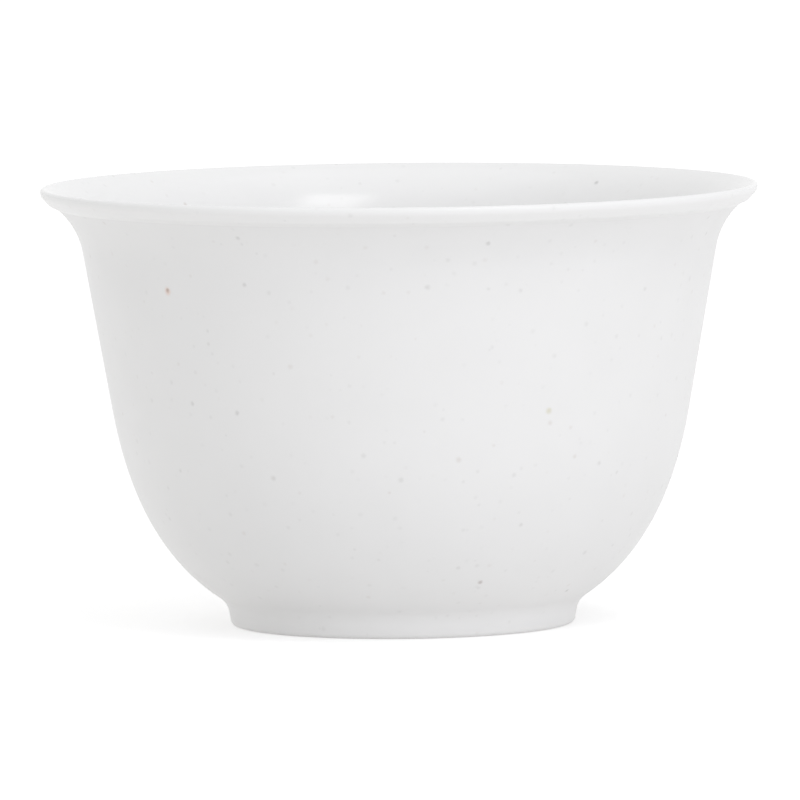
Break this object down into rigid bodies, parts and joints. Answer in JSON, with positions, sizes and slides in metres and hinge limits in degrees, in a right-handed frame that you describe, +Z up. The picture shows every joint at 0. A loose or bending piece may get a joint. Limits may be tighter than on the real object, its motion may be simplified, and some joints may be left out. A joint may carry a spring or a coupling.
{
  "type": "disposable tea cup",
  "caption": "White handle-less disposable tea cup: round-bellied bowl with a flared lip, a short foot ring and a lined inside that holds a hot drink.",
  "frame": {"origin": "centre of the foot ring, on the surface that the cup stands on", "axes": "+Z up along the cup's axis, out of its mouth; the cup is round, so X and Y are free"},
  "size_m": [0.075, 0.075, 0.046],
  "materials": {
    "pressed_fibre": "satin off-white plant-fibre bioplastic with sparse brown and grey flecks",
    "barrier_film": "soft-gloss barrier lining, the same white with the flecks showing through",
    "lip_fibre": "satin off-white plant-fibre bioplastic, slightly polished at the lip",
    "foot_fibre": "satin off-white plant-fibre bioplastic with sparse flecks"
  },
  "bodies": {
    "root": {"bowl_shell": "pressed_fibre", "inner_lining": "barrier_film", "rim_lip": "lip_fibre", "foot_ring": "foot_fibre"}
  },
  "joints": []
}
